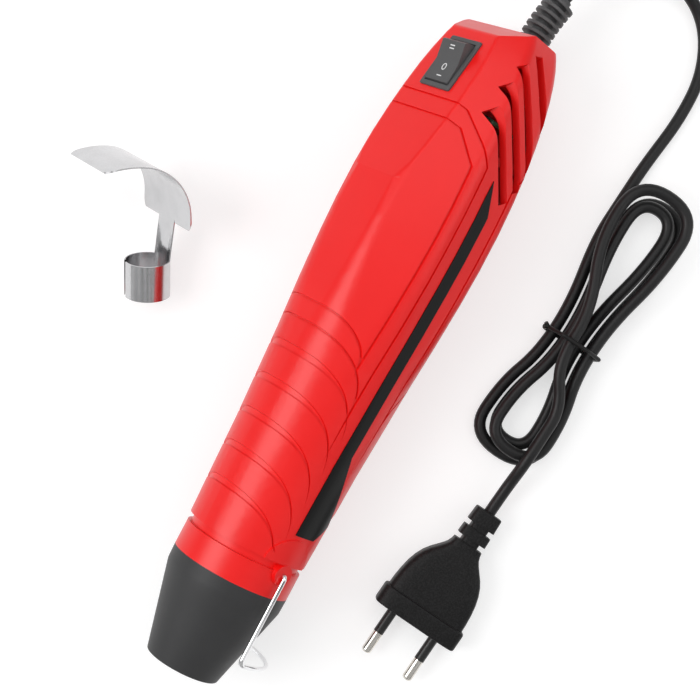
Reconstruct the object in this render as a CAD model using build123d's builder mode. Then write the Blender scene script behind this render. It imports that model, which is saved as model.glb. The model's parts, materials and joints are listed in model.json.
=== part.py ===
from build123d import *
import math
import os

os.makedirs("parts", exist_ok=True)

# Embossing heat tool lying on its side facet, millimetres and degrees
# +X is the way the hot air leaves, +Z is up, the switch side leans over to -Y
# "station" is a distance back from the outlet along the tool's axis

overrun = 60.0
slide_gap = 0.1
shaft_gap = 0.05

# Pose
roll_angle = 45.0
rest_station = 182.0
rest_flat_depth = 0.2

# Hull
tool_length = 258.0
belly_half = 29.0
hull_wall = 2.2
grip_start = 51.5
facet_count = 8
form_shares = (
    (0.0, 0.80, 0.97),
    (0.186, 0.845, 0.97),
    (0.356, 0.91, 0.82),
    (0.453, 0.955, 0.50),
    (0.54, 0.987, 0.32),
    (0.603, 1.0, 0.25),
    (0.671, 1.0, 0.24),
    (0.734, 0.982, 0.24),
    (0.787, 0.952, 0.24),
    (0.835, 0.912, 0.24),
    (0.879, 0.864, 0.25),
    (0.918, 0.806, 0.26),
    (0.949, 0.748, 0.28),
    (0.973, 0.69, 0.30),
    (0.99, 0.637, 0.31),
    (1.0, 0.60, 0.32),
)
crown_start = 188.0
crown_start_rise = 0.3
crown_end = 251.0
crown_drop = 11.7
tail_height = 6.5
crown_radius = 2.4

# Collar between shroud and grip
collar_start = 38.5
collar_ring_length = 9.9
collar_radius = 22.8
neck_depth = 1.4
lap_length = 8.0
lap_wall = 2.0
neck_wall = 2.0
pad_radius = 10.0
pad_rise = 1.2
boss_radius = 3.8
boss_rise = 0.4
pivot_station = 48.0

# Grooves moulded into the skin
groove_depth = 0.8
line_width = 0.8
arch_width = 3.2
arch_foot_width = 0.6
arch_count = 5
arch_pitch = 13.1
arch_foot = 99.4
arch_foot_height = 6.0
arch_mid_run = 17.2
arch_mid_height = 17.4
arch_top_run = 20.0
arch_top_height = 30.0
panel_front = 110.2
panel_rear = 207.3
panel_line_height = 8.5
panel_front_run = 17.0
panel_top_run = 21.5
panel_rear_run = 14.5
panel_rear_height = 20.0
panel_slope_run = 18.0
inner_front = 125.9
inner_rear = 205.0
inner_line_height = 13.9
inner_front_run = 9.0
inner_mid_height = 19.0
inner_top_run = 12.4
inner_rear_run = 10.0
inner_slope_run = 13.0
panel_top_height = 34.0

# Air inlet louvres, each slanted so that its rear wall makes a ramp
louvre_width = 4.4
louvre_slant = 40.0
louvre_reach = 12.0
louvre_plane = 29.0
louvre_bulge = 1.6
louvre_shares = (
    ((0.898, 0.51), (0.777, -0.224)),
    ((0.941, 0.445), (0.803, -0.369)),
    ((0.977, 0.33), (0.837, -0.449)),
    ((1.006, 0.107), (0.904, -0.431)),
)

# Side label strip
label_thickness = 0.3
label_front = 63.0
label_rear = 205.0
label_top = 3.2
label_mid = 96.0
label_bottom = -2.4
label_wide_bottom = -13.0
label_point = 6.0

# Nozzle shroud
shroud_tip_radius = 14.2
shroud_shoulder = 32.5
shroud_shoulder_radius = 22.6
shroud_wall = 1.8
mouth_radius = 10.6
mouth_wall = 2.0
web_station = 28.0
web_thickness = 2.0

# Outlet tube, heater tube and element
outlet_radius = 8.0
sheet = 0.5
outlet_recess = 1.2
outlet_straight = 20.0
heater_radius = 12.3
socket_start = 26.0
socket_length = 9.0
heater_rear = 92.0
mica_thickness = 0.6
mica_front = 30.0
mica_rear = 90.0
board_thickness = 0.8
board_front = 31.0
board_rear = 88.0
element_start = 40.0
element_pitch = 6.0
element_turns = 6
element_radius = 8.6
element_wire = 0.9
notch_width = 1.9
notch_inner = 7.9

# Air duct and fan
duct_front = 84.0
duct_collar_end = 98.0
duct_cone_end = 158.0
duct_rear = 187.0
duct_radius = 19.6
duct_wall = 1.4
duct_rib_station = 178.0
nose_rib_station = 94.0
rib_thickness = 3.0
fan_radius = 17.5
fan_front = 172.0
fan_length = 9.0
fan_hub_radius = 5.2
blade_count = 7
blade_thickness = 1.2
blade_chord = 11.0
blade_pitch = 38.0

# Motor
motor_front = 190.0
motor_length = 27.0
motor_radius = 13.8
motor_nose_radius = 4.0
motor_nose_length = 1.5
motor_cap_length = 3.5
motor_tail_radius = 3.4
motor_tail_length = 2.0
shaft_radius = 1.15
shaft_front = 170.5
motor_rib_stations = (196.0, 213.0)
arm_width = 7.0
motor_tab_width = 2.4
motor_tab_length = 4.5
motor_tab_offset = 8.0
motor_tab_drop = 3.5

# Circuit board with rectifier
board_width = 22.0
board_height = 15.0
circuit_thickness = 1.4
rectifier_width = 9.0
rectifier_height = 7.0
rectifier_depth = 1.8

# Case screws
screw_stations = (72.0, 150.0, 240.0)
screw_offsets = (17.4, 22.5, 12.5)
screw_boss_radius = 3.1
screw_radius = 1.4
screw_head_radius = 2.5
screw_head_height = 1.8
screw_head_level = 9.0
screw_tip_level = 9.0
screw_gap = 0.2
cross_width = 0.9
cross_length = 3.0
cross_depth = 1.0

# Rocker switch
switch_station = 236.0
bezel_length = 21.4
bezel_width = 15.4
bezel_height = 0.9
bezel_radius = 0.8
switch_length = 19.2
switch_width = 13.6
switch_depth = 12.0
window_length = 18.0
window_width = 12.2
window_depth = 8.2
hinge_depth = 1.0
rocker_reach = 8.7
rocker_width = 11.6
rocker_end_rise = 4.5
rocker_mid_rise = 3.2
rocker_foot = 4.5
rocker_throw = 14.0
trunnion_radius = 1.0
trunnion_reach = 6.5
terminal_width = 4.8
terminal_thickness = 0.8
terminal_length = 6.5
terminal_pitch = 6.6

# Strain relief
relief_drop = 11.0
relief_length = 23.0
relief_turn = 16.0
relief_core_radius = 3.2
relief_rib_radius = 6.0
relief_rib_width = 1.1
relief_rib_count = 7
relief_rib_front = 3.4
relief_flange_radius = 4.1
relief_flange_width = 1.8

# Wire stand
wire_radius = 0.9
stand_gap = 0.3
stand_reach = 35.0
stand_pin_inner = 19.9
stand_bend = 2.4
stand_drop = 2.6

# Cord
cord_diameter = 4.6
lead_exit_run = 14.0
lead_route = (
    (307.0, 27.5, 15.0),
    (311.5, 45.0, 7.0),
    (304.0, 62.0, 2.4),
    (286.0, 71.0, 2.3),
    (266.0, 71.5, 2.3),
)

# Hank
hank_station = 170.6
hank_offset = 73.9
hank_angle = 5.6
hank_rear = 52.0
hank_front = 36.0
hank_step = 5.35
hank_outer = 13.3
hank_waist = 8.03
waist_lift = 2.1
hank_sides = 10
exit_side = 9.5
exit_front = 32.4
lead_run = 16.0
tie_radius = 0.8
tie_gap = 0.25
tie_tail = 2.0

# Plug
plug_length = 51.0
plug_width = 35.3
plug_height = 13.7
plug_face_depth = 8.0
plug_shoulder = 27.0
plug_neck_width = 12.0
plug_neck_height = 10.6
plug_end_width = 9.6
plug_end_height = 9.0
plug_corner = 2.6
shoulder_shares = (
    (0.12, 0.965),
    (0.26, 0.87),
    (0.40, 0.69),
    (0.54, 0.48),
    (0.68, 0.28),
    (0.84, 0.10),
)
plug_angle = 6.6
plug_run = 10.5
drop_run = 11.0
drop_reach = 23.0
pin_radius = 2.0
pin_core_radius = 1.6
pin_length = 19.0
pin_sleeve_length = 10.0
pin_spacing = 18.6
pin_round = 1.4
notch_pitch = 7.5
notch_gap = 2.2
notch_depth = 2.4
notch_count = 3

# Reflector nozzle lying beside the tool
reflector_station = 112.5
reflector_side = -76.5
reflector_heading = 24.2
reflector_roll = 36.7
reflector_pitch = 23.3
reflector_grip = 0.1
reflector_collar_length = 14.0
reflector_lead = 1.0
reflector_split = 2.4
reflector_split_turn = -18.0
reflector_neck_length = 16.0
reflector_neck_width = 11.3
reflector_neck_curve = 400.0
reflector_lap = 1.0
hood_flat = 6.0
hood_radius = 20.0
hood_turn = 80.0
lip_radius = 40.0
lip_turn = 23.0
hood_root_width = 35.6
hood_tip_width = 29.0
hood_corner = 3.0

# Crown heights over the axis
crown_start_height = belly_half + crown_start_rise
crown_end_height = crown_start_height - crown_drop

# Directions in the rolled pose
axis_height = belly_half - rest_flat_depth
roll_cos = math.cos(math.radians(roll_angle))
roll_sin = math.sin(math.radians(roll_angle))
side = Vector(0, roll_cos, roll_sin)
top = Vector(0, -roll_sin, roll_cos)
nose = Vector(rest_station, 0, axis_height)
tool_axis = Axis(nose, (-1, 0, 0))
upright = Plane(origin=nose, x_dir=(-1, 0, 0), z_dir=side)
level = Plane(origin=nose, x_dir=(-1, 0, 0), z_dir=top)


def across(station):
    return Plane(origin=(rest_station - station, 0, axis_height), x_dir=side, z_dir=(1, 0, 0))


def place(station, sideways, up):
    return nose + Vector(-station, 0, 0) + side * sideways + top * up


# Hull form, drawn in by an inset on every face
def hull_form(inset):
    with BuildPart() as form:
        for along_share, width_share, round_share in form_shares:
            run = tool_length - grip_start - inset - inset
            station = grip_start + inset + run * along_share
            half = belly_half * width_share - inset
            with BuildSketch(across(station)):
                RegularPolygon(half, facet_count, major_radius=False, rotation=180 / facet_count)
                fillet(vertices(), radius=half * round_share)
        loft(ruled=True)
        with BuildSketch(upright):
            Polygon(
                (crown_start, crown_start_height),
                (crown_end, crown_end_height),
                (tool_length, tail_height),
                (tool_length + overrun, tail_height),
                (tool_length + overrun, overrun),
                (crown_start - hull_wall, overrun),
                (crown_start - hull_wall, crown_start_height),
                align=None,
            )
            if inset > 0:
                offset(amount=inset, kind=Kind.INTERSECTION)
        extrude(amount=overrun, both=True, mode=Mode.SUBTRACT)
    return form.part


def ring_form(front, rear, outer, inner):
    with BuildPart() as ring:
        with BuildSketch(across(rear)):
            Circle(outer)
            if inner > 0:
                Circle(inner, mode=Mode.SUBTRACT)
        extrude(amount=rear - front)
    return ring.part


# Crown slope carries the switch
crown_slope = math.atan2(crown_start_height - crown_end_height, crown_end - crown_start)
crown_normal = top * math.cos(crown_slope) + Vector(-1, 0, 0) * math.sin(crown_slope)
crown_along = Vector(-1, 0, 0) * math.cos(crown_slope) - top * math.sin(crown_slope)
switch_rise = crown_start_height - (switch_station - crown_start) * math.tan(crown_slope)
deck = Plane(origin=place(switch_station, 0, switch_rise), x_dir=crown_along, z_dir=crown_normal)

collar_end = collar_start + collar_ring_length
neck_radius = collar_radius - neck_depth
lap_radius = collar_radius - lap_wall
collar_bore = neck_radius - neck_wall
outer_hull = hull_form(0)

with BuildPart() as skin:
    add(outer_hull)
    crown_face = [
        face
        for face in skin.faces().filter_by(GeomType.PLANE)
        if face.normal_at().dot(crown_normal) > 0.999
    ][0]
    fillet(crown_face.edges(), radius=crown_radius)
    split(bisect_by=Plane.XY, keep=Keep.TOP)
    add(ring_form(collar_start, collar_end, collar_radius, 0))
    add(ring_form(collar_end, grip_start, neck_radius, 0))

# Raised half pads and bosses that carry the stand's pivots
with BuildPart() as pivot_pads:
    with BuildSketch(upright):
        with Locations((grip_start, 0)):
            Circle(pad_radius)
            Rectangle(pad_radius, pad_radius * 2, align=(Align.MAX, Align.CENTER), mode=Mode.SUBTRACT)
    extrude(amount=overrun, both=True)
    add(ring_form(0, tool_length, collar_radius + pad_rise, collar_bore), mode=Mode.INTERSECT)
    with BuildSketch(upright):
        with Locations((pivot_station, 0)):
            Circle(boss_radius)
    extrude(amount=collar_radius + pad_rise + boss_rise, both=True)

# Inside of the shells with the ribs and screw posts left standing
duct_nose_radius = heater_radius + slide_gap + duct_wall
with BuildPart() as cavity:
    add(hull_form(hull_wall))
    add(ring_form(collar_start - overrun, grip_start + hull_wall * 2, collar_bore, 0))
    add(ring_form(collar_start - overrun, collar_start + lap_length, lap_radius, 0))
    for rib_station, rib_bore in (
        (nose_rib_station, duct_nose_radius),
        (duct_rib_station, duct_radius),
    ):
        add(
            ring_form(rib_station, rib_station + rib_thickness, belly_half + hull_wall, rib_bore),
            mode=Mode.SUBTRACT,
        )
    for rib_station in motor_rib_stations:
        with BuildSketch(across(rib_station + rib_thickness)):
            Rectangle(arm_width, belly_half * 2 + hull_wall * 2, rotation=roll_angle)
            Rectangle(arm_width, belly_half * 2 + hull_wall * 2, rotation=-roll_angle)
            Circle(motor_radius, mode=Mode.SUBTRACT)
        extrude(amount=rib_thickness, mode=Mode.SUBTRACT)
    for post_station, post_offset in zip(screw_stations, screw_offsets):
        with BuildSketch(level):
            with Locations((post_station, post_offset), (post_station, -post_offset)):
                Circle(screw_boss_radius)
        extrude(amount=belly_half + hull_wall, both=True, mode=Mode.SUBTRACT)

# Arched grip grooves and the two panel outlines, seen from the side
with BuildPart() as groove_bands:
    for number in range(arch_count):
        foot = arch_foot - arch_pitch * number
        with BuildSketch(upright):
            with BuildLine():
                front_arc = ThreePointArc(
                    (foot, arch_foot_height),
                    (foot + arch_mid_run, arch_mid_height),
                    (foot + arch_top_run, arch_top_height),
                )
                rear_arc = ThreePointArc(
                    (foot + arch_foot_width, arch_foot_height),
                    (foot + arch_mid_run + (arch_foot_width + arch_width) / 2, arch_mid_height),
                    (foot + arch_top_run + arch_width, arch_top_height),
                )
                Line(front_arc @ 0, rear_arc @ 0)
                Line(front_arc @ 1, rear_arc @ 1)
            make_face()
        extrude(amount=overrun, both=True)
    add(ring_form(0, grip_start + arch_width, belly_half, 0), mode=Mode.SUBTRACT)

with BuildPart() as panel_bands:
    with BuildSketch(upright):
        with BuildLine():
            ThreePointArc(
                (panel_front, panel_line_height),
                (panel_front + panel_front_run, arch_mid_height),
                (panel_front + panel_top_run, arch_top_height),
            )
            Polyline(
                (panel_front, panel_line_height),
                (panel_rear, panel_line_height),
                (panel_rear + panel_rear_run, panel_rear_height),
                (panel_rear + panel_slope_run, panel_top_height),
            )
            ThreePointArc(
                (inner_front, inner_line_height),
                (inner_front + inner_front_run, inner_mid_height),
                (inner_front + inner_top_run, panel_top_height),
            )
            Polyline(
                (inner_front, inner_line_height),
                (inner_rear, inner_line_height),
                (inner_rear + inner_rear_run, panel_rear_height),
                (inner_rear + inner_slope_run, panel_top_height),
            )
        trace(line_width=line_width)
    extrude(amount=overrun, both=True)

with BuildPart() as lower_bands:
    with BuildSketch(upright):
        with BuildLine():
            ThreePointArc(
                (panel_front, -panel_line_height),
                (panel_front + panel_front_run, -arch_mid_height),
                (panel_front + panel_top_run, -arch_top_height),
            )
            Polyline(
                (panel_front, -panel_line_height),
                (panel_rear, -panel_line_height),
                (panel_rear + panel_rear_run, -panel_rear_height),
                (panel_rear + panel_slope_run, -panel_top_height),
            )
        trace(line_width=line_width)
    extrude(amount=overrun, both=True)

groove_core = hull_form(groove_depth)

# Slanted inlet slots on both sides
slant = math.radians(louvre_slant)
inward = side * -math.cos(slant) + Vector(1, 0, 0) * math.sin(slant)
with BuildPart() as louvre_cuts:
    for start_share, end_share in louvre_shares:
        first = Vector(tool_length * start_share[0], belly_half * start_share[1])
        last = Vector(tool_length * end_share[0], belly_half * end_share[1])
        middle = (first + last) / 2 + Vector(louvre_bulge, louvre_bulge)
        with BuildSketch(upright.offset(louvre_plane)):
            with BuildLine():
                ThreePointArc((first.X, first.Y), (middle.X, middle.Y), (last.X, last.Y))
            trace(line_width=louvre_width)
        extrude(amount=louvre_reach / math.cos(slant), dir=inward)
    mirror(about=upright)

# Stand pivot holes, strain relief hole and switch opening
with BuildPart() as openings:
    with BuildSketch(upright):
        with Locations((pivot_station, 0)):
            Circle(wire_radius + shaft_gap)
    extrude(amount=overrun, both=True)
    with BuildSketch(across(tool_length + overrun)):
        with Locations((0, -relief_drop)):
            Circle(relief_core_radius)
    extrude(amount=overrun + hull_wall * 2)
    with BuildSketch(deck):
        Rectangle(switch_length + slide_gap * 2, switch_width + slide_gap * 2)
    extrude(amount=-switch_depth)
    with BuildSketch(deck):
        Rectangle(switch_length + slide_gap * 2, switch_width + slide_gap * 2)
    extrude(amount=bezel_height)

# Screw holes: clearance and a deep counterbore below, a pilot above
with BuildPart() as lower_holes:
    for post_station, post_offset in zip(screw_stations, screw_offsets):
        with BuildSketch(level.offset(-screw_head_level)):
            with Locations((post_station, post_offset), (post_station, -post_offset)):
                Circle(screw_head_radius + screw_gap)
        extrude(amount=-belly_half)
        with BuildSketch(level):
            with Locations((post_station, post_offset), (post_station, -post_offset)):
                Circle(screw_radius + screw_gap)
        extrude(amount=-screw_head_level)

with BuildPart() as upper_holes:
    for post_station, post_offset in zip(screw_stations, screw_offsets):
        with BuildSketch(level):
            with Locations((post_station, post_offset), (post_station, -post_offset)):
                Circle(screw_radius)
        extrude(amount=screw_tip_level + screw_gap)

# Housing halves, parted through the stand's pivots
with BuildPart() as upper_housing:
    add(skin.part)
    add(pivot_pads.part)
    add(cavity.part, mode=Mode.SUBTRACT)
    add(openings.part, mode=Mode.SUBTRACT)
    add(louvre_cuts.part, mode=Mode.SUBTRACT)
    split(bisect_by=level, keep=Keep.TOP)
    add(groove_bands.part - groove_core, mode=Mode.SUBTRACT)
    add(panel_bands.part - groove_core, mode=Mode.SUBTRACT)
    add(upper_holes.part, mode=Mode.SUBTRACT)
upper_housing.part.label = "upper_housing"
export_step(upper_housing.part, "parts/upper_housing.step")

with BuildPart() as lower_housing:
    add(skin.part)
    add(pivot_pads.part)
    add(cavity.part, mode=Mode.SUBTRACT)
    add(openings.part, mode=Mode.SUBTRACT)
    add(louvre_cuts.part, mode=Mode.SUBTRACT)
    split(bisect_by=level, keep=Keep.BOTTOM)
    add(lower_bands.part - groove_core, mode=Mode.SUBTRACT)
    add(lower_holes.part, mode=Mode.SUBTRACT)
lower_housing.part.label = "lower_housing"
export_step(lower_housing.part, "parts/lower_housing.step")

# Label strip, a skin on the side over the parting line
with BuildPart() as label_strip:
    add(hull_form(-label_thickness))
    add(outer_hull, mode=Mode.SUBTRACT)
    with BuildSketch(upright):
        Polygon(
            (label_front, label_top),
            (label_rear - label_point, label_top),
            (label_rear, label_top - label_thickness),
            (label_rear - label_point * 2, label_bottom),
            (label_mid, label_bottom),
            (label_front + label_point, label_wide_bottom),
            (label_front, label_wide_bottom + label_point),
            align=None,
        )
    extrude(amount=overrun, mode=Mode.INTERSECT)
label_strip.part.label = "label_strip"
export_step(label_strip.part, "parts/label_strip.step")

# Case screws with a cross in each head
screw_places = [
    (station, offset * way)
    for station, offset in zip(screw_stations, screw_offsets)
    for way in (1, -1)
]
for number, (screw_station, screw_offset) in enumerate(screw_places, start=1):
    with BuildPart() as case_screw:
        with BuildSketch(level.offset(-screw_head_level)):
            with Locations((screw_station, screw_offset)):
                Circle(screw_head_radius)
        extrude(amount=-screw_head_height)
        with BuildSketch(level.offset(-screw_head_level)):
            with Locations((screw_station, screw_offset)):
                Circle(screw_radius)
        extrude(amount=screw_head_level + screw_tip_level)
        with BuildSketch(level.offset(-screw_head_level - screw_head_height)):
            with Locations((screw_station, screw_offset)):
                Rectangle(cross_length, cross_width)
                Rectangle(cross_width, cross_length)
        extrude(amount=cross_depth, mode=Mode.SUBTRACT)
    case_screw.part.label = f"case_screw_{number}"
    export_step(case_screw.part, f"parts/case_screw_{number}.step")

# Nozzle shroud: tapered shell, lapped into the collar, with a web for the heater
with BuildPart() as nozzle_shroud:
    with BuildSketch(upright):
        Polygon(
            (0, 0),
            (0, shroud_tip_radius),
            (shroud_shoulder, shroud_shoulder_radius),
            (collar_start, collar_radius),
            (collar_start, lap_radius - slide_gap),
            (collar_start + lap_length - slide_gap, lap_radius - slide_gap),
            (collar_start + lap_length - slide_gap, 0),
            align=None,
        )
        Polygon(
            (mouth_wall, 0),
            (mouth_wall, shroud_tip_radius - shroud_wall),
            (shroud_shoulder, shroud_shoulder_radius - shroud_wall * 2),
            (collar_start + lap_length, lap_radius - slide_gap - shroud_wall),
            (collar_start + lap_length, 0),
            align=None,
            mode=Mode.SUBTRACT,
        )
    revolve(axis=tool_axis)
    add(ring_form(-overrun, mouth_wall * 2, mouth_radius, 0), mode=Mode.SUBTRACT)
    mouth_edges = nozzle_shroud.edges().filter_by(GeomType.CIRCLE).group_by(Axis.X)[-1]
    fillet(mouth_edges, radius=shroud_wall / 3)
socket_radius = heater_radius + slide_gap + sheet
with BuildPart() as shroud_web:
    with BuildSketch(upright):
        Polygon(
            (web_station, socket_radius),
            (web_station + web_thickness, socket_radius),
            (web_station + web_thickness, shroud_shoulder_radius - shroud_wall),
            (web_station, shroud_shoulder_radius - shroud_wall * 2),
            align=None,
        )
    revolve(axis=tool_axis)
with BuildPart() as shroud_with_web:
    add(nozzle_shroud.part)
    add(shroud_web.part)
shroud_with_web.part.label = "nozzle_shroud"
export_step(shroud_with_web.part, "parts/nozzle_shroud.step")

# Steel outlet tube with its flared socket
with BuildPart() as outlet_tube:
    with BuildSketch(upright):
        Polygon(
            (outlet_recess, outlet_radius),
            (outlet_straight, outlet_radius),
            (socket_start, socket_radius),
            (socket_start + socket_length, socket_radius),
            (socket_start + socket_length, socket_radius - sheet),
            (socket_start + sheet, socket_radius - sheet),
            (outlet_straight + sheet, outlet_radius - sheet),
            (outlet_recess, outlet_radius - sheet),
            align=None,
        )
    revolve(axis=tool_axis)
outlet_tube.part.label = "outlet_tube"
export_step(outlet_tube.part, "parts/outlet_tube.step")

# Heater tube and the mica sleeve inside it
heater_front = socket_start + sheet * 3
with BuildPart() as heater_tube:
    add(ring_form(heater_front, heater_rear, heater_radius, heater_radius - sheet))
heater_tube.part.label = "heater_tube"
export_step(heater_tube.part, "parts/heater_tube.step")

sleeve_radius = heater_radius - sheet - slide_gap
with BuildPart() as mica_sleeve:
    add(ring_form(mica_front, mica_rear, sleeve_radius, sleeve_radius - mica_thickness))
mica_sleeve.part.label = "mica_sleeve"
export_step(mica_sleeve.part, "parts/mica_sleeve.step")

# Two notched mica boards, slotted into each other as a cross
board_half = sleeve_radius - mica_thickness - slide_gap
board_middle = (board_front + board_rear) / 2
slot_half = board_thickness / 2 + slide_gap
for board_name, board_plane, quarter, slot_from, slot_to in (
    ("mica_board_upright", upright, 0.25, board_front, board_middle),
    ("mica_board_level", level, 0.0, board_middle, board_rear),
):
    with BuildPart() as mica_board:
        with BuildSketch(board_plane):
            Polygon(
                (board_front, -board_half),
                (board_rear, -board_half),
                (board_rear, board_half),
                (board_front, board_half),
                align=None,
            )
            Polygon(
                (slot_from, -slot_half),
                (slot_to, -slot_half),
                (slot_to, slot_half),
                (slot_from, slot_half),
                align=None,
                mode=Mode.SUBTRACT,
            )
            for turn in range(element_turns + 1):
                for way, half_turn in ((1, 0), (-1, 0.5)):
                    here = element_start + element_pitch * (turn + quarter + half_turn)
                    with Locations((here, way * (notch_inner + board_half) / 2)):
                        Rectangle(notch_width, board_half - notch_inner, mode=Mode.SUBTRACT)
        extrude(amount=board_thickness / 2, both=True)
    mica_board.part.label = board_name
    export_step(mica_board.part, f"parts/{board_name}.step")


# Two tangent arcs between each pair of points and directions
def arc_pair(start, heading, end, last_heading):
    chord = end - start
    total = heading + last_heading
    square = 2 * (heading.dot(last_heading) - 1)
    middle = -2 * chord.dot(total)
    base = chord.dot(chord)
    if abs(square) < 1e-9:
        reach = base / -middle
    else:
        reach = (-middle - math.sqrt(middle * middle - 4 * square * base)) / (2 * square)
    first_corner = start + heading * reach
    second_corner = end - last_heading * reach
    joint = (first_corner + second_corner) / 2
    return joint, (second_corner - first_corner).normalized()


def arc_chain(stops):
    for (start, heading), (end, last_heading) in zip(stops, stops[1:]):
        straight = (end - start).normalized()
        if straight.dot(heading) > 0.9999999 and straight.dot(last_heading) > 0.9999999:
            Line(start, end)
            continue
        joint, joint_heading = arc_pair(start, heading, end, last_heading)
        TangentArc(start, joint, tangent=heading)
        TangentArc(joint, end, tangent=joint_heading)


# Heating element wound round the mica cross
rise = element_pitch / 4
lean = math.atan2(element_pitch, 2 * math.pi * element_radius)
element_stops = []
for quarter_turn in range(element_turns * 4 + 1):
    angle = math.radians(90 * quarter_turn)
    out = side * -math.cos(angle) + top * math.sin(angle)
    onward = side * math.sin(angle) + top * math.cos(angle)
    here = nose + Vector(-element_start - rise * quarter_turn, 0, 0) + out * element_radius
    element_stops.append((here, onward * math.cos(lean) - Vector(math.sin(lean), 0, 0)))
with BuildPart() as heating_coil:
    with BuildLine() as coil_line:
        arc_chain(element_stops)
    first_stop = element_stops[0]
    with BuildSketch(Plane(origin=first_stop[0], z_dir=first_stop[1])):
        RegularPolygon(element_wire / 2, 6)
    sweep(path=coil_line.wires()[0])
heating_coil.part.label = "heating_coil"
export_step(heating_coil.part, "parts/heating_coil.step")

# Air duct from the fan down to the heater tube
with BuildPart() as air_duct:
    with BuildSketch(upright):
        Polygon(
            (duct_front, duct_nose_radius),
            (duct_collar_end, duct_nose_radius),
            (duct_cone_end, duct_radius),
            (duct_rear, duct_radius),
            (duct_rear, duct_radius - duct_wall),
            (duct_cone_end, duct_radius - duct_wall),
            (duct_collar_end, duct_nose_radius - duct_wall),
            (duct_front, duct_nose_radius - duct_wall),
            align=None,
        )
    revolve(axis=tool_axis)
air_duct.part.label = "air_duct"
export_step(air_duct.part, "parts/air_duct.step")

# Fan wheel: hub and slanted blades on the shaft
with BuildPart() as fan_wheel:
    add(ring_form(fan_front, fan_front + fan_length, fan_hub_radius, 0))
    hub_middle = place(fan_front + fan_length / 2, 0, 0)
    for blade in range(blade_count):
        turn = math.radians(360 * blade / blade_count)
        spoke = side * math.cos(turn) + top * math.sin(turn)
        with BuildSketch(Plane(origin=hub_middle, x_dir=(1, 0, 0), z_dir=spoke)):
            Rectangle(blade_chord, blade_thickness, rotation=blade_pitch)
        extrude(amount=fan_radius)
    add(ring_form(0, tool_length, fan_radius, 0), mode=Mode.INTERSECT)
    add(ring_form(0, tool_length, shaft_radius, 0), mode=Mode.SUBTRACT)
fan_wheel.part.label = "fan_wheel"
export_step(fan_wheel.part, "parts/fan_wheel.step")

motor_rear = motor_front + motor_length
cap_rear = motor_rear + motor_cap_length
shaft_rear = cap_rear - shaft_gap
with BuildPart() as motor_shaft:
    add(ring_form(shaft_front, shaft_rear, shaft_radius, 0))
motor_shaft.part.label = "motor_shaft"
export_step(motor_shaft.part, "parts/motor_shaft.step")

with BuildPart() as motor_can:
    add(ring_form(motor_front, motor_rear, motor_radius, 0))
    add(ring_form(motor_front - motor_nose_length, motor_front, motor_nose_radius, 0))
    add(ring_form(0, tool_length, shaft_radius + shaft_gap, 0), mode=Mode.SUBTRACT)
motor_can.part.label = "motor_can"
export_step(motor_can.part, "parts/motor_can.step")

board_station = cap_rear + motor_tab_length
with BuildPart() as motor_cap:
    add(ring_form(motor_rear, cap_rear, motor_radius, 0))
    add(ring_form(cap_rear, cap_rear + motor_tail_length, motor_tail_radius, 0))
    add(ring_form(0, cap_rear, shaft_radius + shaft_gap, 0), mode=Mode.SUBTRACT)
    with BuildSketch(across(board_station)):
        with Locations((motor_tab_offset, -motor_tab_drop), (-motor_tab_offset, -motor_tab_drop)):
            Rectangle(terminal_thickness, motor_tab_width)
    extrude(amount=motor_tab_length)
motor_cap.part.label = "motor_cap"
export_step(motor_cap.part, "parts/motor_cap.step")

with BuildPart() as circuit_board:
    with BuildSketch(across(board_station + circuit_thickness)):
        with Locations((0, -board_height / 2)):
            RectangleRounded(board_width, board_height, circuit_thickness)
    extrude(amount=circuit_thickness)
circuit_board.part.label = "circuit_board"
export_step(circuit_board.part, "parts/circuit_board.step")

with BuildPart() as rectifier:
    with BuildSketch(across(board_station + circuit_thickness + rectifier_depth)):
        with Locations((0, -board_height / 2)):
            RectangleRounded(rectifier_width, rectifier_height, circuit_thickness)
    extrude(amount=rectifier_depth)
rectifier.part.label = "rectifier"
export_step(rectifier.part, "parts/rectifier.step")

# Rocker switch body with its bezel
hinge_point = deck.origin - crown_normal * hinge_depth
throw = math.radians(rocker_throw)
tipped = crown_along * math.cos(throw) + crown_normal * math.sin(throw)
rock_plane = Plane(origin=hinge_point, x_dir=crown_along, z_dir=side)
with BuildPart() as switch_body:
    with BuildSketch(deck):
        RectangleRounded(bezel_length, bezel_width, bezel_radius)
    extrude(amount=bezel_height)
    chamfer(switch_body.faces().sort_by(Axis(deck.origin, crown_normal))[-1].edges(), bezel_height / 3)
    with BuildSketch(deck):
        Rectangle(switch_length, switch_width)
    extrude(amount=-switch_depth)
    with BuildSketch(deck.offset(bezel_height)):
        Rectangle(window_length, window_width)
    extrude(amount=-bezel_height - window_depth, mode=Mode.SUBTRACT)
    with BuildSketch(rock_plane):
        Circle(trunnion_radius + shaft_gap)
    extrude(amount=overrun, both=True, mode=Mode.SUBTRACT)
switch_body.part.label = "switch_body"
export_step(switch_body.part, "parts/switch_body.step")

# Rocker, drawn level and tipped to its pressed position
with BuildPart() as rocker:
    with BuildSketch(Plane(origin=hinge_point, x_dir=tipped, z_dir=side)):
        Circle(rocker_reach)
        Polygon(
            (-rocker_reach, -rocker_foot),
            (rocker_reach, -rocker_foot),
            (rocker_reach, rocker_end_rise),
            (0, rocker_mid_rise),
            (-rocker_reach, rocker_end_rise),
            align=None,
            mode=Mode.INTERSECT,
        )
    extrude(amount=rocker_width / 2, both=True)
    with BuildSketch(rock_plane):
        Circle(trunnion_radius)
    extrude(amount=trunnion_reach, both=True)
rocker.part.label = "rocker"
export_step(rocker.part, "parts/rocker.step")

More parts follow.
